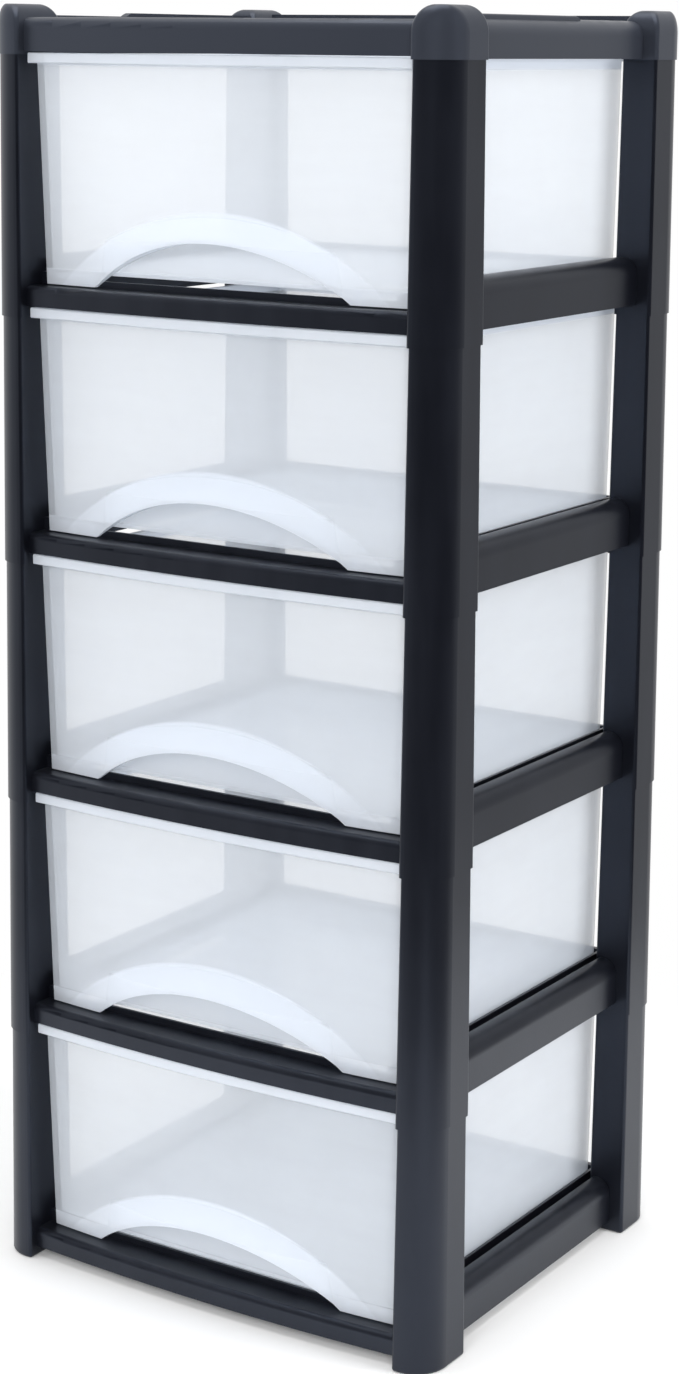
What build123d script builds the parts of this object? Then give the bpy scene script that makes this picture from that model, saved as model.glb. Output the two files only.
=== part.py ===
"""Five-tier plastic drawer tower.

Millimetres. +X is to the right of a person facing the drawers, +Y runs to the back, +Z is up.
The origin is on the floor, at the middle of the footprint. The drawers slide out along -Y.

Every tier frame is one moulding: a ring of four rails with four hollow legs rising from it.
The top of each leg is a narrow spigot that plugs into the hollow foot of the moulding above.
"""

import math
import os

from build123d import *

os.makedirs("parts", exist_ok=True)

# Overall sizes
WIDTH = 396.0
DEPTH = 356.0
TIER_COUNT = 5
TIER_PITCH = 185.6
SKIRT_DROP = 8.0  # how far a post foot reaches below its ring
CAP_DROP = 2.0  # how far a corner cap reaches below the top rails
CAP_HEIGHT = 36.0
TOP_RING_Z = SKIRT_DROP + TIER_COUNT * TIER_PITCH

# Posts
POST_WIDTH = 31.0  # along X
POST_DEPTH = 53.0  # along Y
POST_OUTER_RADIUS = 26.0
POST_SMALL_RADIUS = 2.6
POST_WALL = 2.0
POST_TAPER = 1.2  # a leg is this much narrower on each side at its top
SPIGOT_HEIGHT = 22.0
SPIGOT_CLEARANCE = 0.3
SPIGOT_WALL = 1.7
SPIGOT_HEADROOM = 1.5  # between a spigot's tip and the inside of its cap
FOOT_PLATE = 3.0
FOOT_ROUNDING = 2.4

# Rails of a tier ring, heights above the ring's lower edge
SIDE_RAIL_INSET = 12.0
SIDE_RAIL_WIDTH = 15.0
SIDE_RAIL_HEIGHT = 36.0
SIDE_RAIL_ROUNDING = 12.5
RAIL_WALL = 2.4
FRONT_RAIL_INSET = 8.0
FRONT_RAIL_DEPTH = 21.0
FRONT_RAIL_HEIGHT = 15.0
FRONT_RAIL_ROUNDING = 4.5
FRONT_BOW = 7.0  # how far the middle of the front swells forward
FRONT_STOP_HEIGHT = 20.0
FRONT_STOP_THICKNESS = 2.4
BACK_RAIL_HEIGHT = 32.0
RUNNER_WIDTH = 27.0  # inward from the inner face of the side rail
RUNNER_THICKNESS = 2.6
GUIDE_CLEARANCE = 2.2  # beside the foot of the drawer's side wall
GUIDE_THICKNESS = 2.2
GUIDE_RISE = 8.4  # above the runner

# Rails of the top frame
TOP_SIDE_RAIL_DROP = 1.5  # below the lower edge of the top ring
TOP_SIDE_RAIL_TOP = 26.3  # above the lower edge of the top ring
TOP_STRIP_RISE = 2.6  # raised strip along most of each side rail
TOP_STRIP_WIDTH = 6.0
TOP_STRIP_END_Y = 40.0
TOP_FRONT_RAIL_HEIGHT = 24.5
TOP_FRONT_RAIL_ROUNDING = 8.0
TOP_BACK_RAIL_RISE = 4.0
DOME_HEIGHT = 18.0
DOME_INSET = 10.5
DOME_STEPS = 7

# Drawers, heights above the ring's lower edge
DRAWER_FLOOR_Z = 25.0
RUNNING_GAP = 0.4  # between the runner and the drawer's underside
RIM_DROP = 0.6  # rim below the top of the lip
DRAWER_WALL = 2.2
DRAWER_FLOOR = 2.4
DRAWER_SIDE_GAP_TOP = 8.5  # between the side wall and the flank of a post
DRAWER_SIDE_GAP_BOTTOM = 10.5
DRAWER_BACK_TOP_GAP = 2.5  # between the drawer's back and the back rail
DRAWER_BACK_TAPER = 2.0
DRAWER_CORNER_RADIUS = 5.5
PANEL_SIDE_GAP_TOP = 6.5
PANEL_SIDE_GAP_BOTTOM = 8.5
PANEL_THICKNESS = 2.4
PANEL_FOOT_Z = 16.2
PANEL_SETBACK_BOTTOM = 14.0  # behind the face of the front rail
PANEL_SETBACK_TOP = 7.0
LIP_SIDE_GAP = 3.0
LIP_SETBACK = 0.6
LIP_HEIGHT = 7.6
LIP_TOP_GAP = 0.9  # below the ring above
RIM_OVERHANG = 3.4
RIM_THICKNESS = 2.2

# Arched handle, heights above the ring's lower edge
ARCH_APEX_Z = 54.0
ARCH_RADIUS = 182.4
HOOD_BAND = 19.5
HOOD_PROJECTION = 20.0  # in front of the panel's foot
HOOD_HALF_SPAN = 118.0
RECESS_SETBACK = 21.0  # recess wall behind the middle of the front rail's face

# Drawer motion
DRAWER_TRAVEL = 240.0

HALF_W = WIDTH / 2
HALF_D = DEPTH / 2
FLANK_X = HALF_W - POST_WIDTH
FLANK_Y = HALF_D - POST_DEPTH
SIDE_RAIL_X = HALF_W - SIDE_RAIL_INSET
SIDE_RAIL_INNER_X = SIDE_RAIL_X - SIDE_RAIL_WIDTH
FRONT_RAIL_Y = -HALF_D + FRONT_RAIL_INSET
FRONT_RAIL_BACK_Y = FRONT_RAIL_Y + FRONT_RAIL_DEPTH
BACK_RAIL_Y = HALF_D - SIDE_RAIL_INSET
BACK_RAIL_INNER_Y = BACK_RAIL_Y - SIDE_RAIL_WIDTH
LIP_TOP = TIER_PITCH - LIP_TOP_GAP
DRAWER_RIM_Z = LIP_TOP - RIM_DROP
LIP_HALF_WIDTH = FLANK_X - LIP_SIDE_GAP
PANEL_HALF_WIDTH_TOP = FLANK_X - PANEL_SIDE_GAP_TOP
PANEL_HALF_WIDTH_BOTTOM = FLANK_X - PANEL_SIDE_GAP_BOTTOM
DRAWER_HALF_WIDTH_TOP = FLANK_X - DRAWER_SIDE_GAP_TOP
DRAWER_HALF_WIDTH_BOTTOM = FLANK_X - DRAWER_SIDE_GAP_BOTTOM
RUNNER_TOP = DRAWER_FLOOR_Z - RUNNING_GAP
RUNNER_INNER_X = SIDE_RAIL_INNER_X - RUNNER_WIDTH
GUIDE_X = DRAWER_HALF_WIDTH_BOTTOM + GUIDE_CLEARANCE
GUIDE_TOP = RUNNER_TOP + GUIDE_RISE


def block(x0, x1, y0, y1, z0, z1):
    """A box given by its six limits."""
    size = Box(x1 - x0, y1 - y0, z1 - z0)
    return Pos((x0 + x1) / 2, (y0 + y1) / 2, (z0 + z1) / 2) * size


def post_outline(inset, z, big=None, small=None):
    """Plan of the post at +X +Y, drawn in by an inset, with its large outer corner."""
    x0 = FLANK_X + inset
    x1 = HALF_W - inset
    y0 = FLANK_Y + inset
    y1 = HALF_D - inset
    small = small or POST_SMALL_RADIUS - 0.4 * inset
    big = big or min(POST_OUTER_RADIUS - inset, x1 - x0 - small - 0.6)
    with BuildSketch(Plane.XY.offset(z)) as plan:
        with Locations(((x0 + x1) / 2, (y0 + y1) / 2)):
            Rectangle(x1 - x0, y1 - y0)
        fillet(plan.vertices().sort_by(lambda v: v.X + v.Y)[-1], big)
        sharp = [v for v in plan.vertices() if v.X < x0 + 0.1 or v.Y < y0 + 0.1]
        fillet(sharp, small)
    return plan.sketch.face()


def tapered_post(inset_low, z_low, inset_high, z_high):
    """A solid between two plans of the post."""
    return Solid.make_loft(
        [post_outline(inset_low, z_low).outer_wire(), post_outline(inset_high, z_high).outer_wire()],
        ruled=True,
    )


def four_corners(shape):
    """The shape at +X +Y and its mirror images at the other three corners."""
    right = [shape, mirror(shape, about=Plane.XZ)]
    left = [mirror(each, about=Plane.YZ) for each in right]
    return right + left


def bowed_slab(half_width, face_y, back_y, z0, z1, bow=FRONT_BOW):
    """A slab whose front face swells forward in the middle."""
    with BuildSketch(Plane.XY.offset(z0)) as plan:
        with BuildLine():
            ThreePointArc((-half_width, face_y), (0, face_y - bow), (half_width, face_y))
            Polyline((half_width, face_y), (half_width, back_y), (-half_width, back_y), (-half_width, face_y))
        make_face()
    return extrude(plan.sketch, z1 - z0)


def side_rail(height, z0):
    """The right-hand rail: a channel open underneath, with a large rounded shoulder."""
    rail = block(SIDE_RAIL_INNER_X, SIDE_RAIL_X, -FLANK_Y - 1, FLANK_Y + 1, z0, z0 + height)
    shoulder = rail.edges().filter_by(Axis.Y).sort_by(lambda e: e.center().X + e.center().Z)[-1]
    rail = fillet(shoulder, SIDE_RAIL_ROUNDING)
    inner = rail.edges().filter_by(Axis.Y).group_by(Axis.Z)[-1].sort_by(Axis.X)[0]
    rail = fillet(inner, 1.0)
    hollow = block(
        SIDE_RAIL_INNER_X + RAIL_WALL,
        SIDE_RAIL_X - RAIL_WALL,
        -FLANK_Y - 2,
        FLANK_Y + 2,
        z0 - 1,
        z0 + height - RAIL_WALL,
    )
    crown = hollow.edges().filter_by(Axis.Y).sort_by(lambda e: e.center().X + e.center().Z)[-1]
    return rail - fillet(crown, SIDE_RAIL_WIDTH - 2 * RAIL_WALL - 0.4)


def back_rail(height, z0):
    """The rear rail, built like a side rail but between the rear posts."""
    rail = block(-FLANK_X - 1, FLANK_X + 1, BACK_RAIL_INNER_Y, BACK_RAIL_Y, z0, z0 + height)
    shoulder = rail.edges().filter_by(Axis.X).sort_by(lambda e: e.center().Y + e.center().Z)[-1]
    rail = fillet(shoulder, SIDE_RAIL_ROUNDING)
    hollow = block(
        -FLANK_X - 2,
        FLANK_X + 2,
        BACK_RAIL_INNER_Y + RAIL_WALL,
        BACK_RAIL_Y - RAIL_WALL,
        z0 - 1,
        z0 + height - RAIL_WALL,
    )
    crown = hollow.edges().filter_by(Axis.X).sort_by(lambda e: e.center().Y + e.center().Z)[-1]
    return rail - fillet(crown, SIDE_RAIL_WIDTH - 2 * RAIL_WALL - 0.4)


def front_rail(z0, height, depth, rounding):
    """The bowed front rail, hollow underneath, with a rounded front edge."""
    back_y = FRONT_RAIL_Y + depth
    rail = bowed_slab(FLANK_X + 1, FRONT_RAIL_Y, back_y, z0, z0 + height)
    front_edge = rail.faces().sort_by(Axis.Z)[-1].edges().sort_by(Axis.Y)[0]
    rail = fillet(front_edge, rounding)
    inner_depth = depth - RAIL_WALL
    hollow = bowed_slab(
        FLANK_X + 2,
        FRONT_RAIL_Y + RAIL_WALL,
        FRONT_RAIL_Y + inner_depth,
        z0 - 1,
        z0 + height - RAIL_WALL,
    )
    crown = hollow.faces().sort_by(Axis.Z)[-1].edges().sort_by(Axis.Y)[0]
    return rail - fillet(crown, max(rounding - 1.5, 1.5))


def runner(z0):
    """The right-hand runner shelf and the guide ridge that keeps the drawer straight."""
    front_y = FRONT_RAIL_BACK_Y - FRONT_STOP_THICKNESS
    shelf = block(
        RUNNER_INNER_X,
        SIDE_RAIL_INNER_X + 1,
        front_y,
        BACK_RAIL_INNER_Y + 1,
        z0 + RUNNER_TOP - RUNNER_THICKNESS,
        z0 + RUNNER_TOP,
    )
    ridge = block(
        GUIDE_X,
        GUIDE_X + GUIDE_THICKNESS,
        front_y + 6,
        BACK_RAIL_INNER_Y + 1,
        z0 + RUNNER_TOP - 1,
        z0 + GUIDE_TOP,
    )
    web = block(
        RUNNER_INNER_X,
        SIDE_RAIL_INNER_X + 1,
        front_y,
        front_y + 2.4,
        z0 + 4,
        z0 + RUNNER_TOP - 1,
    )
    return shelf + ridge + web


def front_stop(z0):
    """The low wall behind the front rail that the drawer's foot closes against."""
    return block(
        -FLANK_X - 1,
        FLANK_X + 1,
        FRONT_RAIL_BACK_Y - FRONT_STOP_THICKNESS,
        FRONT_RAIL_BACK_Y,
        z0,
        z0 + FRONT_STOP_HEIGHT,
    )


def leg_shell(z_bottom, z_seam, lowest):
    """A hollow post from its skirt to the seam, with the spigot above the seam."""
    z_tip = z_seam + SPIGOT_HEIGHT
    outside = tapered_post(0, z_bottom, POST_TAPER, z_seam)
    if lowest:
        rim = outside.faces().sort_by(Axis.Z)[0].edges()
        outside = fillet(rim, FOOT_ROUNDING)
    spigot_inset = POST_WALL + SPIGOT_CLEARANCE
    spigot = tapered_post(spigot_inset, z_seam - 0.5, spigot_inset + 0.5, z_tip)
    hollow_start = z_bottom + FOOT_PLATE if lowest else z_bottom
    hollow = tapered_post(POST_WALL, hollow_start, spigot_inset + SPIGOT_WALL + 0.5, z_tip)
    return outside + spigot - hollow


def tier_frame(index):
    """One tier moulding; index 0 stands on the floor."""
    z0 = SKIRT_DROP + index * TIER_PITCH
    is_top = index == TIER_COUNT - 1
    z_seam = TOP_RING_Z - CAP_DROP if is_top else z0 + TIER_PITCH - SKIRT_DROP
    leg = leg_shell(z0 - SKIRT_DROP, z_seam, index == 0)
    frame = Part() + four_corners(leg)
    rails = side_rail(SIDE_RAIL_HEIGHT, z0) + runner(z0)
    rails = rails + mirror(rails, about=Plane.YZ)
    rails = rails + back_rail(BACK_RAIL_HEIGHT, z0)
    rails = rails + front_rail(z0, FRONT_RAIL_HEIGHT, FRONT_RAIL_DEPTH, FRONT_RAIL_ROUNDING)
    rails = rails + front_stop(z0)
    room = Part() + four_corners(tapered_post(POST_TAPER, z0 - SKIRT_DROP, 1.4 * POST_TAPER, z_seam))
    return frame + (rails - room)


def cap(z_bottom, z_top):
    """A domed corner cap, open underneath, that fits over a leg's spigot."""
    shoulder_z = z_top - DOME_HEIGHT
    sleeve = tapered_post(0, z_bottom, 0, shoulder_z)
    wires = []
    for step in range(DOME_STEPS + 1):
        angle = math.radians(84.0 * step / DOME_STEPS)
        inset = DOME_INSET * (1 - math.cos(angle)) / (1 - math.cos(math.radians(84.0)))
        z = shoulder_z + DOME_HEIGHT * math.sin(angle) / math.sin(math.radians(84.0))
        small = POST_SMALL_RADIUS + 1.2 * math.sin(angle)
        flat = POST_WIDTH - POST_OUTER_RADIUS - POST_SMALL_RADIUS
        big = POST_WIDTH - 2 * inset - small - flat
        wires.append(post_outline(inset, z, big, small).outer_wire())
    dome = Solid.make_loft(wires, ruled=False)
    ceiling_z = z_bottom + SPIGOT_HEIGHT + SPIGOT_HEADROOM
    hollow = tapered_post(POST_WALL, z_bottom, POST_WALL, ceiling_z)
    return sleeve + dome - hollow


def top_strip(z):
    """The raised strip on the right-hand top rail, sloping down at its rear end."""
    inner_x = SIDE_RAIL_INNER_X + 0.8
    strip = block(inner_x, inner_x + TOP_STRIP_WIDTH, -FLANK_Y - 1, TOP_STRIP_END_Y, z - 2, z + TOP_STRIP_RISE)
    end = strip.edges().filter_by(Axis.X).sort_by(lambda e: e.center().Y + e.center().Z)[-1]
    strip = chamfer(end, TOP_STRIP_RISE - 0.1, 2 * TOP_STRIP_RISE)
    outer = strip.edges().filter_by(Axis.Y).sort_by(lambda e: e.center().X + e.center().Z)[-1]
    return fillet(outer, 1.6)


def top_frame():
    """The frame that closes the tower: four rails and four domed caps."""
    z0 = TOP_RING_Z
    caps = Part() + four_corners(cap(z0 - CAP_DROP, z0 - CAP_DROP + CAP_HEIGHT))
    right = side_rail(TOP_SIDE_RAIL_TOP + TOP_SIDE_RAIL_DROP, z0 - TOP_SIDE_RAIL_DROP)
    right = right + top_strip(z0 + TOP_SIDE_RAIL_TOP)
    rails = right + Rot(0, 0, 180) * right
    rails = rails + back_rail(TOP_SIDE_RAIL_TOP + TOP_BACK_RAIL_RISE, z0)
    rails = rails + front_rail(z0, TOP_FRONT_RAIL_HEIGHT, FRONT_RAIL_DEPTH, TOP_FRONT_RAIL_ROUNDING)
    room = Part() + four_corners(tapered_post(1.0, z0 - CAP_DROP - 1, 1.0, z0 + CAP_HEIGHT))
    return caps + (rails - room)


def drawer_plan(half_width, face_y, back_y, corner, z):
    """Plan of the drawer: bowed front, straight sides and rounded rear corners."""
    with BuildSketch(Plane.XY.offset(z)) as plan:
        with BuildLine():
            ThreePointArc((-half_width, face_y), (0, face_y - FRONT_BOW), (half_width, face_y))
            Polyline((half_width, face_y), (half_width, back_y), (-half_width, back_y), (-half_width, face_y))
        make_face()
        fillet(plan.vertices().group_by(Axis.Y)[-1], corner)
    return plan.sketch.face().outer_wire()


def drawer_block(offset, z_low, z_high, corner):
    """The drawer's box drawn in by an offset, between two heights above the ring."""
    panel_low = FRONT_RAIL_Y + PANEL_SETBACK_BOTTOM
    panel_high = FRONT_RAIL_Y + PANEL_SETBACK_TOP
    back_high = BACK_RAIL_INNER_Y - DRAWER_BACK_TOP_GAP
    wires = []
    for z in (z_low, z_high):
        part = (z - PANEL_FOOT_Z) / (LIP_TOP - PANEL_FOOT_Z)
        half = DRAWER_HALF_WIDTH_BOTTOM + part * (DRAWER_HALF_WIDTH_TOP - DRAWER_HALF_WIDTH_BOTTOM)
        face = panel_low + part * (panel_high - panel_low)
        back = back_high - (1 - part) * DRAWER_BACK_TAPER
        wires.append(drawer_plan(half - offset, face + offset, back - offset, corner, z))
    return Solid.make_loft(wires, ruled=True)


def front_panel():
    """The leaning, bowed front panel, from its feet up to the lip."""
    wires = []
    for z, half, setback in (
        (PANEL_FOOT_Z, PANEL_HALF_WIDTH_BOTTOM, PANEL_SETBACK_BOTTOM),
        (LIP_TOP, PANEL_HALF_WIDTH_TOP, PANEL_SETBACK_TOP),
    ):
        face = FRONT_RAIL_Y + setback
        with BuildSketch(Plane.XY.offset(z)) as plan:
            with BuildLine():
                ThreePointArc((-half, face), (0, face - FRONT_BOW), (half, face))
                Line((half, face), (half, face + PANEL_THICKNESS))
                ThreePointArc(
                    (half, face + PANEL_THICKNESS),
                    (0, face + PANEL_THICKNESS - FRONT_BOW),
                    (-half, face + PANEL_THICKNESS),
                )
                Line((-half, face + PANEL_THICKNESS), (-half, face))
            make_face()
        wires.append(plan.sketch.face().outer_wire())
    return Solid.make_loft(wires, ruled=True)


def arch_disc(radius, y0, y1):
    """A disc about the arch's centre, lying across the drawer."""
    centre_z = ARCH_APEX_Z - ARCH_RADIUS
    disc = Cylinder(radius, y1 - y0, rotation=(90, 0, 0))
    return Pos(0, (y0 + y1) / 2, centre_z) * disc


def hood(skin):
    """The handle's hood, a cone that slopes out to the arch; skin draws it inwards."""
    foot_y = FRONT_RAIL_Y + PANEL_SETBACK_BOTTOM
    lip_y = foot_y - HOOD_PROJECTION
    centre_z = ARCH_APEX_Z - ARCH_RADIUS
    root_y = foot_y + 2
    slope = HOOD_BAND / 12.0
    root_radius = ARCH_RADIUS + slope * (root_y - lip_y) - skin
    cone = Cone(root_radius, ARCH_RADIUS - skin, root_y - lip_y, rotation=(90, 0, 0))
    cone = Pos(0, (root_y + lip_y) / 2, centre_z) * cone
    bow_radius = (HOOD_HALF_SPAN**2 + HOOD_PROJECTION**2) / (2 * HOOD_PROJECTION)
    front = Pos(0, lip_y + bow_radius + skin, ARCH_APEX_Z) * Cylinder(bow_radius, 200)
    in_front = block(-150, 150, lip_y - 5, foot_y, PANEL_FOOT_Z, ARCH_APEX_Z + 60)
    return cone & front & in_front


def drawer(index):
    """One drawer, in its closed place."""
    z0 = SKIRT_DROP + index * TIER_PITCH
    recess_y = FRONT_RAIL_Y - FRONT_BOW + RECESS_SETBACK
    far_front = FRONT_RAIL_Y - 40
    wall = DRAWER_WALL
    outside = drawer_block(0, DRAWER_FLOOR_Z, DRAWER_RIM_Z, DRAWER_CORNER_RADIUS)
    outside = outside + front_panel() + hood(0)
    inside = drawer_block(wall, DRAWER_FLOOR_Z + DRAWER_FLOOR, LIP_TOP + 1, DRAWER_CORNER_RADIUS - wall)
    hood_room = hood(wall) & block(-130, 130, far_front, 0, DRAWER_FLOOR_Z + DRAWER_FLOOR, 120)
    inside = inside + hood_room
    inside = inside - arch_disc(ARCH_RADIUS + wall, far_front, recess_y + wall)
    rim_high = DRAWER_RIM_Z
    rim_back = BACK_RAIL_INNER_Y - DRAWER_BACK_TOP_GAP
    rim = block(
        -DRAWER_HALF_WIDTH_TOP - RIM_OVERHANG,
        DRAWER_HALF_WIDTH_TOP + RIM_OVERHANG,
        FRONT_RAIL_Y + PANEL_SETBACK_TOP,
        rim_back + RIM_OVERHANG - 1,
        rim_high - RIM_THICKNESS,
        rim_high,
    )
    rim = fillet(rim.edges().filter_by(Axis.Z).group_by(Axis.Y)[-1], DRAWER_CORNER_RADIUS + RIM_OVERHANG)
    lip = bowed_slab(
        LIP_HALF_WIDTH,
        FRONT_RAIL_Y + LIP_SETBACK,
        FRONT_RAIL_Y + PANEL_SETBACK_TOP + PANEL_THICKNESS - 0.4,
        LIP_TOP - LIP_HEIGHT,
        LIP_TOP,
    )
    lip_front = lip.faces().sort_by(Axis.Y)[0].edges()
    lip = fillet(lip_front.filter_by(GeomType.CIRCLE), 1.2)
    body = outside + rim + lip - inside
    body = body - arch_disc(ARCH_RADIUS, far_front, recess_y)
    return Pos(0, 0, z0) * body


def save(shape, name):
    """Write one piece."""
    export_step(shape, f"parts/{name}.step")
    box = shape.bounding_box()
    print(name, "solids", len(shape.solids()), "volume", round(shape.volume), box.min, box.max)


if __name__ == "__main__":
    save(top_frame(), "top_frame")
    for tier in range(TIER_COUNT):
        save(tier_frame(tier), f"tier_frame_{tier + 1}")
        save(drawer(tier), f"drawer_{tier + 1}")
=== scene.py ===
"""Looks, light and camera for the five-tier plastic drawer tower.

Metres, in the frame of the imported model: +X is to the right of a person facing the drawers,
+Y runs to the back, +Z is up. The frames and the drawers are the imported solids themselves,
dressed here in moulded-plastic materials. A finish that follows a height is worked out in the
piece's own coordinates, so it stays with its drawer when the drawer is pulled out.
"""

import logging
import math
from dataclasses import dataclass, field
from enum import Enum
from typing import Any

import bpy
from mathutils import Matrix, Vector


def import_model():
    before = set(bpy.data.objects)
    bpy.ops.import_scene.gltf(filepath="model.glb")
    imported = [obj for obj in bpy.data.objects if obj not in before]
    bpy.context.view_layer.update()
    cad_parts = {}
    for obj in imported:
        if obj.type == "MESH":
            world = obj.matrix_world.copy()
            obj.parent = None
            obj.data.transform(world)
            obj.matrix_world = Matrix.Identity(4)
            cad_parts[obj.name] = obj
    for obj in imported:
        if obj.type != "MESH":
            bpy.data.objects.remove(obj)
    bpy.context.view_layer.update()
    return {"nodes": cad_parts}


LOG = logging.getLogger("drawer_tower")
IMAGE_HEIGHT = 1374
BUMP_DISTANCE = 0.0001

Colour = tuple[float, float, float]
Place = tuple[float, float, float]
Span = tuple[float, float]

WHITE: Colour = (1.0, 1.0, 1.0)


class Slot(Enum):
    """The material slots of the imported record."""

    FRAME = "frame_plastic"
    DRAWER = "drawer_plastic"


class Value:
    """A number socket; an expression on it adds Math nodes."""

    def __init__(self, graph: "Graph", socket: bpy.types.NodeSocket) -> None:
        """Wrap a socket.

        Args:
            graph: The node graph that the socket belongs to.
            socket: The output socket.
        """
        self.graph = graph
        self.socket = socket

    def _math(
        self, operation: str, first: "Value | float", second: "Value | float | None" = None
    ) -> "Value":
        """Add one Math node.

        Args:
            operation: The node's operation.
            first: A number or a Value.
            second: A number or a Value, or None for an operation on one number.

        Returns:
            The node's output.
        """
        inputs = {0: first}
        if second is not None:
            inputs[1] = second
        node = self.graph.node("ShaderNodeMath", {"operation": operation}, inputs)
        return Value(self.graph, node.outputs[0])

    def __add__(self, other: "Value | float") -> "Value":
        """The sum."""
        return self._math("ADD", self, other)

    __radd__ = __add__

    def __sub__(self, other: "Value | float") -> "Value":
        """The difference."""
        return self._math("SUBTRACT", self, other)

    def __rsub__(self, other: "Value | float") -> "Value":
        """The difference, the other way round."""
        return self._math("SUBTRACT", other, self)

    def __mul__(self, other: "Value | float") -> "Value":
        """The product."""
        return self._math("MULTIPLY", self, other)

    def __mod__(self, other: "Value | float") -> "Value":
        """The remainder."""
        return self._math("FLOORED_MODULO", self, other)

    def root(self) -> "Value":
        """The square root."""
        return self._math("SQRT", self)

    def at_most(self, other: "Value | float") -> "Value":
        """The smaller of the two."""
        return self._math("MINIMUM", self, other)

    def ramp(self, low: float, high: float) -> "Value":
        """A smooth rise from 0 at low to 1 at high, also where low is the larger.

        Args:
            low: Where the rise begins.
            high: Where it ends.

        Returns:
            The risen value, from 0 to 1.
        """
        node = self.graph.node(
            "ShaderNodeMapRange",
            {"interpolation_type": "SMOOTHSTEP", "clamp": True},
            {0: self, 1: low, 2: high, 3: 0.0, 4: 1.0},
        )
        return Value(self.graph, node.outputs[0])


@dataclass(frozen=True)
class Waves:
    """One layer of soft noise: waves to the metre, finer layers, extra scale along each axis."""

    scale: float
    detail: float
    stretch: Place = (1.0, 1.0, 1.0)
    roughness: float = 0.55


class Graph:
    """The nodes of one material or of the world."""

    def __init__(self, owner: Any) -> None:
        """Start with no nodes.

        Args:
            owner: The material or the world.
        """
        self.owner = owner
        owner.use_nodes = True
        self.tree = owner.node_tree
        self.tree.nodes.clear()

    @classmethod
    def for_material(cls, name: str) -> "Graph":
        """Start a new material.

        Args:
            name: The material's name.

        Returns:
            Its empty graph.
        """
        return cls(bpy.data.materials.new(name))

    def node(
        self,
        kind: str,
        settings: dict[str, Any] | None = None,
        inputs: dict[int | str, Any] | None = None,
    ) -> bpy.types.Node:
        """Add a node.

        Args:
            kind: The node's type.
            settings: Its properties, set before its sockets.
            inputs: A number, colour, socket or Value for each named or numbered input.

        Returns:
            The new node.
        """
        made = self.tree.nodes.new(kind)
        for name, value in (settings or {}).items():
            setattr(made, name, value)
        for key, value in (inputs or {}).items():
            self._feed(made.inputs[key], value)
        return made

    def _feed(self, socket: bpy.types.NodeSocket, value: Any) -> None:
        """Give an input its value or its link.

        Args:
            socket: The input.
            value: A number, a colour, an output socket or a Value.
        """
        if isinstance(value, Value):
            value = value.socket
        if isinstance(value, bpy.types.NodeSocket):
            self.tree.links.new(value, socket)
        elif isinstance(value, tuple) and socket.type == "RGBA":
            socket.default_value = (*value, 1.0)
        else:
            socket.default_value = value

    def value(self, socket: bpy.types.NodeSocket) -> Value:
        """The socket as a Value."""
        return Value(self, socket)

    def local_axes(self) -> tuple[Value, Value, Value, bpy.types.NodeSocket]:
        """The place on the piece.

        Returns:
            X, Y and Z in metres at rest, and the three of them as one vector.
        """
        place = self.node("ShaderNodeTexCoord").outputs["Object"]
        parts = self.node("ShaderNodeSeparateXYZ", inputs={0: place}).outputs
        return self.value(parts[0]), self.value(parts[1]), self.value(parts[2]), place

    def noise(self, place: bpy.types.NodeSocket, waves: Waves) -> Value:
        """Soft noise.

        Args:
            place: The coordinates.
            waves: Its size and detail.

        Returns:
            The noise, from 0 to 1.
        """
        mapped = self.node("ShaderNodeMapping", inputs={"Vector": place, "Scale": waves.stretch})
        made = self.node(
            "ShaderNodeTexNoise",
            inputs={
                "Vector": mapped.outputs[0],
                "Scale": waves.scale,
                "Detail": waves.detail,
                "Roughness": waves.roughness,
            },
        )
        return self.value(made.outputs[0])

    def blend(self, factor: Any, first: Any, second: Any) -> bpy.types.NodeSocket:
        """Mix two colours.

        Args:
            factor: 0 gives the first, 1 the second.
            first: A colour or a colour socket.
            second: A colour or a colour socket.

        Returns:
            The mixed colour.
        """
        inputs = {0: factor, 6: first, 7: second}
        return self.node("ShaderNodeMix", {"data_type": "RGBA"}, inputs).outputs[2]

    def bump(self, height: Value, strength: float) -> bpy.types.NodeSocket:
        """Fine relief.

        Args:
            height: The relief's height.
            strength: How strongly it shows.

        Returns:
            The normal.
        """
        inputs = {"Strength": strength, "Distance": BUMP_DISTANCE, "Height": height}
        return self.node("ShaderNodeBump", inputs=inputs).outputs[0]

    def shade(self, factor: Any, first: bpy.types.Node, second: bpy.types.Node) -> bpy.types.Node:
        """Mix two shaders.

        Args:
            factor: 0 gives the first, 1 the second.
            first: A shader node.
            second: A shader node.

        Returns:
            The Mix Shader node.
        """
        inputs = {0: factor, 1: first.outputs[0], 2: second.outputs[0]}
        return self.node("ShaderNodeMixShader", inputs=inputs)

    def close(self, shader: bpy.types.Node) -> bpy.types.Material:
        """Send the shader to the output.

        Args:
            shader: The last shader node.

        Returns:
            The material.
        """
        self.node("ShaderNodeOutputMaterial", inputs={"Surface": shader.outputs[0]})
        return self.owner


@dataclass(frozen=True)
class TowerSizes:
    """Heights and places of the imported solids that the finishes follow."""

    tiers: int = 5
    pitch: float = 0.1856
    first_ring: float = 0.008
    cap_foot: float = 0.934
    drawer_floor: float = 0.025
    lip_low: float = 0.1771
    arch_radius: float = 0.1824
    arch_apex: float = 0.054
    hood_band: float = 0.0195
    panel_y: float = -0.158

    @property
    def arch_centre(self) -> float:
        """Height of the arch's centre above its ring."""
        return self.arch_apex - self.arch_radius


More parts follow.
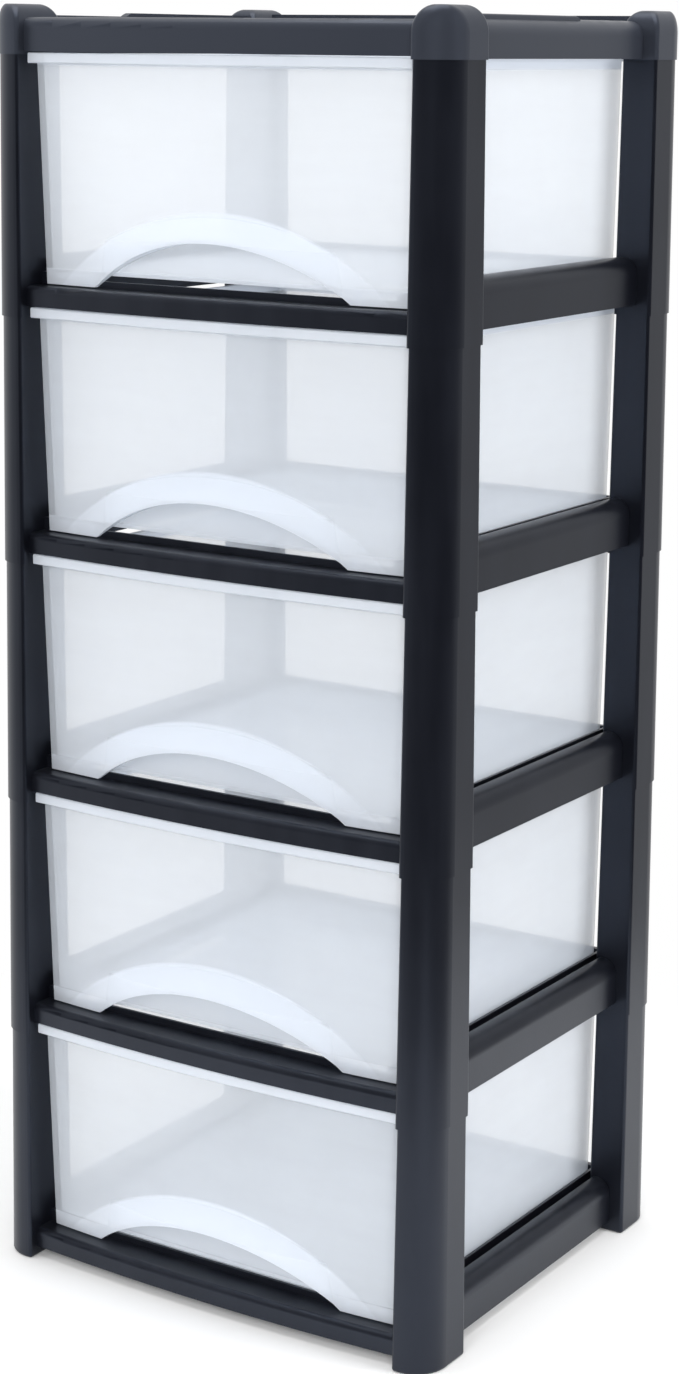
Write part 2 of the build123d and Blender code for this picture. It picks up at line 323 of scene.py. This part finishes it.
@dataclass(frozen=True)
class FramePlastic:
    """Dark satin plastic of the frames, with faint flow marks from the mould and a little dust; the top
    frame's paler colour is painted light, standing in for the brighter light on the top of the tower.
    """

    deep: Colour = (0.0042, 0.0046, 0.0070)
    pale: Colour = (0.0078, 0.0086, 0.0122)
    # painted light: the top frame's paler colour stands in for the brighter light on the top of the tower,
    # not a paler plastic
    painted_top_light: Colour = (0.031, 0.035, 0.046)
    dust: Colour = (0.028, 0.031, 0.038)
    gloss_tint: Colour = (0.68, 0.78, 1.0)
    gloss: float = 0.5
    ior: float = 1.5
    roughness: float = 0.26
    flow: Waves = Waves(5.0, 4.0, (9.0, 9.0, 1.0))
    cloud: Waves = Waves(14.0, 2.0)
    specks: Waves = Waves(55.0, 5.0)
    grain: Waves = Waves(900.0, 2.0)
    flow_in_tone: float = 0.65
    tone_span: Span = (0.32, 0.68)
    level_span: Span = (0.55, 1.0)
    speck_span: Span = (0.35, 0.8)
    dust_share: float = 0.5
    # how far the painted light lightens the top frame
    painted_top_light_share: float = 0.8
    cap_edge_blur: float = 0.0005
    flow_roughness: float = 0.08
    grain_roughness: float = 0.06
    dust_roughness: float = 0.15
    flow_relief: float = 0.6
    relief: float = 0.22

    def material(self, tower: TowerSizes) -> bpy.types.Material:
        """Build the material.

        Args:
            tower: The height at which the top frame begins, where the painted light on the top starts.

        Returns:
            The material.
        """
        graph = Graph.for_material(Slot.FRAME.value)
        _, _, z, place = graph.local_axes()
        flow = graph.noise(place, self.flow)
        cloud = graph.noise(place, self.cloud)
        grain = graph.noise(place, self.grain)
        normal = graph.node("ShaderNodeNewGeometry").outputs["Normal"]
        upward = graph.value(graph.node("ShaderNodeSeparateXYZ", inputs={0: normal}).outputs[2])
        tone = flow * self.flow_in_tone + cloud * (1.0 - self.flow_in_tone)
        shade = graph.blend(tone.ramp(*self.tone_span), self.deep, self.pale)
        # painted light: above the cap foot the frame is lightened towards the paler colour, standing in for
        # the brighter light on the top of the tower
        top = z.ramp(tower.cap_foot - self.cap_edge_blur, tower.cap_foot) * self.painted_top_light_share
        specks = graph.noise(place, self.specks).ramp(*self.speck_span)
        settled = upward.ramp(*self.level_span) * specks * self.dust_share
        roughness = self.roughness + flow * self.flow_roughness + grain * self.grain_roughness
        plastic = graph.node(
            "ShaderNodeBsdfPrincipled",
            inputs={
                "Base Color": graph.blend(settled, graph.blend(top, shade, self.painted_top_light), self.dust),
                "Roughness": roughness + settled * self.dust_roughness,
                "Normal": graph.bump(grain + flow * self.flow_relief, self.relief),
                "IOR": self.ior,
                "Specular IOR Level": self.gloss,
                "Specular Tint": self.gloss_tint,
            },
        )
        return graph.close(plastic)


@dataclass(frozen=True)
class DrawerPlastic:
    """Milky see-through plastic of the drawers, denser in the lip, the hood and the floor."""

    milk: Colour = (0.865, 0.91, 0.985)
    cream: Colour = (0.891, 0.9373, 1.0)
    glow: Colour = (0.885, 0.93, 0.99)
    clear: Colour = (1.0, 0.989, 0.972)
    ior: float = 1.49
    see_through: float = 0.6
    dense_see_through: float = 0.25
    scattered: float = 0.42
    roughness: float = 0.3
    cloud: Waves = Waves(9.0, 3.0)
    flow: Waves = Waves(6.0, 3.0, (1.0, 1.0, 6.0))
    grain: Waves = Waves(650.0, 2.0)
    lip_blur: float = 0.002
    band_blur: float = 0.001
    band_margin: float = 0.003
    hood_span: Span = (0.002, -0.004)
    floor_span: Span = (0.0035, 0.0025)
    floor_density: float = 0.7
    cloud_in_density: float = 0.08
    flow_in_density: float = 0.05
    grain_roughness: float = 0.08
    flow_roughness: float = 0.05
    flow_relief: float = 0.8
    relief: float = 0.05

    def _density(self, graph: Graph, tower: TowerSizes, x: Value, y: Value, z: Value) -> Value:
        """How dense the plastic is.

        Args:
            graph: The material's graph.
            tower: Heights of the tiers, lips and hoods.
            x: The place across the drawer.
            y: The place from front to back.
            z: The height above the ground.

        Returns:
            1 in the lip and the hood, less in the floor, 0 elsewhere.
        """
        height = (z - tower.first_ring) % tower.pitch
        lip = height.ramp(tower.lip_low - self.lip_blur, tower.lip_low)
        above_centre = height - tower.arch_centre
        radius = (x * x + above_centre * above_centre).root()
        outer = tower.arch_radius + tower.hood_band
        band = radius.ramp(tower.arch_radius - self.band_blur, tower.arch_radius)
        band = band * radius.ramp(outer + self.band_margin, outer)
        hood = band * y.ramp(*(tower.panel_y + edge for edge in self.hood_span))
        base = height.ramp(*(tower.drawer_floor + edge for edge in self.floor_span))
        return (lip + hood + base * self.floor_density).at_most(1.0)

    def material(self, tower: TowerSizes) -> bpy.types.Material:
        """Build the material.

        Args:
            tower: Heights of the tiers, lips and hoods.

        Returns:
            The material.
        """
        graph = Graph.for_material(Slot.DRAWER.value)
        x, y, z, place = graph.local_axes()
        cloud = graph.noise(place, self.cloud)
        flow = graph.noise(place, self.flow)
        grain = graph.noise(place, self.grain)
        spread = self.see_through - self.dense_see_through
        passing = self.see_through - self._density(graph, tower, x, y, z) * spread
        passing = passing + (cloud - 0.5) * self.cloud_in_density
        passing = passing + (flow - 0.5) * self.flow_in_density
        skin = graph.node(
            "ShaderNodeBsdfPrincipled",
            inputs={
                "Base Color": graph.blend(cloud, self.milk, self.cream),
                "Roughness": self.roughness + grain * self.grain_roughness + flow * self.flow_roughness,
                "Normal": graph.bump(grain + flow * self.flow_relief, self.relief),
                "IOR": self.ior,
            },
        )
        depth = graph.node("ShaderNodeBsdfTranslucent", inputs={"Color": self.glow})
        milky = graph.shade(self.scattered, skin, depth)
        clear = graph.node("ShaderNodeBsdfTransparent", inputs={"Color": self.clear})
        return graph.close(graph.shade(passing, milky, clear))


def dress(nodes: dict[str, bpy.types.Object], names: list[str], material: bpy.types.Material) -> None:
    """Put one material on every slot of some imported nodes.

    Args:
        nodes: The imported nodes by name.
        names: Which of them to dress.
        material: Their finish.
    """
    for name in names:
        for slot in nodes[name].material_slots:
            slot.material = material
        LOG.info("%s wears %s", name, material.name)


@dataclass
class FrameStack:
    """The tier frames and the top frame."""

    sizes: TowerSizes
    finish: FramePlastic = field(default_factory=FramePlastic)

    def names(self) -> list[str]:
        """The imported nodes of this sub-assembly."""
        return [f"tier_frame_{tier + 1}" for tier in range(self.sizes.tiers)] + ["top_frame"]

    def dress(self, nodes: dict[str, bpy.types.Object]) -> None:
        """Put the frame plastic on each frame.

        Args:
            nodes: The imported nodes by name.
        """
        dress(nodes, self.names(), self.finish.material(self.sizes))


@dataclass
class DrawerSet:
    """The pull-out drawers."""

    sizes: TowerSizes
    finish: DrawerPlastic = field(default_factory=DrawerPlastic)

    def names(self) -> list[str]:
        """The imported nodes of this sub-assembly."""
        return [f"drawer_{tier + 1}" for tier in range(self.sizes.tiers)]

    def dress(self, nodes: dict[str, bpy.types.Object]) -> None:
        """Put the drawer plastic on each drawer.

        Args:
            nodes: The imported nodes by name.
        """
        dress(nodes, self.names(), self.finish.material(self.sizes))


@dataclass(frozen=True)
class Softbox:
    """One soft rectangular lamp, its size in metres and its power in watts."""

    name: str
    place: Place
    aim: Place
    width: float
    height: float
    power: float
    mirrored: bool = False

    def build(self) -> None:
        """Place the lamp, and hide it from reflections unless it is a mirrored one."""
        data = bpy.data.lights.new(self.name, "AREA")
        data.shape = "RECTANGLE"
        data.size = self.width
        data.size_y = self.height
        data.energy = self.power
        lamp = bpy.data.objects.new(self.name, data)
        bpy.context.scene.collection.objects.link(lamp)
        lamp.location = self.place
        lamp.rotation_euler = (Vector(self.aim) - Vector(self.place)).to_track_quat("-Z", "Y").to_euler()
        lamp.visible_glossy = self.mirrored
        LOG.info("%s placed", self.name)


@dataclass(frozen=True)
class Studio:
    """The pale floor, the surroundings and the soft lamps."""

    surround: float = 0.97
    dark_side: Place = (0.80, -0.60, 0.0)
    dark_span: Span = (-0.9, 0.75)
    darkening: float = 0.96
    floor_size: float = 1.5
    floor_paint: Colour = (0.93, 0.93, 0.93)
    whitening: Span = (0.34, 0.70)
    lamps: tuple[Softbox, ...] = (
        Softbox("left_softbox", (-2.1, -2.2, 1.3), (0.0, 0.0, 0.45), 2.2, 2.4, 30.0),
        Softbox("right_softbox", (2.9, 0.55, 1.3), (0.0, 0.0, 0.5), 1.6, 2.2, 80.0),
        Softbox("overhead_softbox", (0.1, -0.1, 3.1), (0.0, 0.0, 0.0), 2.4, 2.4, 46.0, mirrored=True),
        Softbox("front_softbox", (1.2, -2.6, 1.3), (0.0, 0.0, 0.5), 2.4, 2.0, 76.0),
    )

    def build(self) -> None:
        """Make the floor, the surroundings and the lamps."""
        self._floor()
        self._world()
        for lamp in self.lamps:
            lamp.build()

    def _floor(self) -> None:
        """Make the floor, which turns into plain white away from the tower."""
        graph = Graph.for_material("studio_floor")
        x, y, _, _ = graph.local_axes()
        away = (x * x + y * y).root().ramp(*self.whitening)
        seen = graph.value(graph.node("ShaderNodeLightPath").outputs["Is Camera Ray"])
        paint = graph.node("ShaderNodeBsdfDiffuse", inputs={"Color": self.floor_paint})
        white = graph.node("ShaderNodeEmission", inputs={"Color": WHITE, "Strength": 1.0})
        half = self.floor_size / 2
        mesh = bpy.data.meshes.new("studio_floor")
        corners = [(-half, -half, 0.0), (half, -half, 0.0), (half, half, 0.0), (-half, half, 0.0)]
        mesh.from_pydata(corners, [], [(0, 1, 2, 3)])
        mesh.materials.append(graph.close(graph.shade(seen * away, paint, white)))
        floor = bpy.data.objects.new("studio_floor", mesh)
        bpy.context.scene.collection.objects.link(floor)
        LOG.info("floor laid")

    def _world(self) -> None:
        """Make the surroundings: white where they are seen, dim on one side where they light."""
        world = bpy.data.worlds.new("studio")
        bpy.context.scene.world = world
        graph = Graph(world)
        direction = graph.node("ShaderNodeTexCoord").outputs["Generated"]
        towards = tuple(Vector(self.dark_side).normalized())
        facing = graph.node("ShaderNodeVectorMath", {"operation": "DOT_PRODUCT"}, {0: direction, 1: towards})
        dim = graph.value(facing.outputs["Value"]).ramp(*self.dark_span)
        seen = graph.value(graph.node("ShaderNodeLightPath").outputs["Is Camera Ray"])
        strength = (1.0 - dim * self.darkening) * self.surround * (1.0 - seen) + seen
        sky = graph.node("ShaderNodeBackground", inputs={"Color": WHITE, "Strength": strength})
        graph.node("ShaderNodeOutputWorld", inputs={"Surface": sky.outputs[0]})
        LOG.info("surroundings lit")


@dataclass(frozen=True)
class StudioCamera:
    """The camera, at the photograph's viewing angle; angles in degrees, sensor in millimetres."""

    place: Place = (1.13766, -1.75808, 0.94530)
    yaw: float = 32.883
    pitch: float = 10.643
    roll: float = 0.5665
    focal_pixels: float = 2759.77
    axis_row: float = 559.9
    sensor: float = 36.0

    def build(self) -> None:
        """Make the camera and hand it to the scene."""
        yaw = math.radians(self.yaw)
        pitch = math.radians(self.pitch)
        roll = math.radians(self.roll)
        ahead = Vector((-math.sin(yaw) * math.cos(pitch), math.cos(yaw) * math.cos(pitch), -math.sin(pitch)))
        level = Vector((math.cos(yaw), math.sin(yaw), 0.0))
        above = level.cross(ahead)
        right = level * math.cos(roll) + above * math.sin(roll)
        up = above * math.cos(roll) - level * math.sin(roll)
        turn = Matrix((right, up, -ahead)).transposed().to_4x4()
        data = bpy.data.cameras.new("studio_camera")
        data.sensor_fit = "VERTICAL"
        data.sensor_height = self.sensor
        data.lens = self.focal_pixels * self.sensor / IMAGE_HEIGHT
        data.shift_y = (self.axis_row - IMAGE_HEIGHT / 2) / IMAGE_HEIGHT
        camera = bpy.data.objects.new("studio_camera", data)
        bpy.context.scene.collection.objects.link(camera)
        camera.matrix_world = Matrix.Translation(Vector(self.place)) @ turn
        bpy.context.scene.camera = camera
        LOG.info("camera placed")


def main() -> None:
    """Dress the tower and build the studio around it."""
    logging.basicConfig(level=logging.INFO, format="%(name)s: %(message)s")
    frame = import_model()
    sizes = TowerSizes()
    FrameStack(sizes).dress(frame["nodes"])
    DrawerSet(sizes).dress(frame["nodes"])
    Studio().build()
    StudioCamera().build()
    bpy.context.scene.view_settings.view_transform = "Standard"
    LOG.info("tower dressed")


if __name__ == "__main__":
    main()
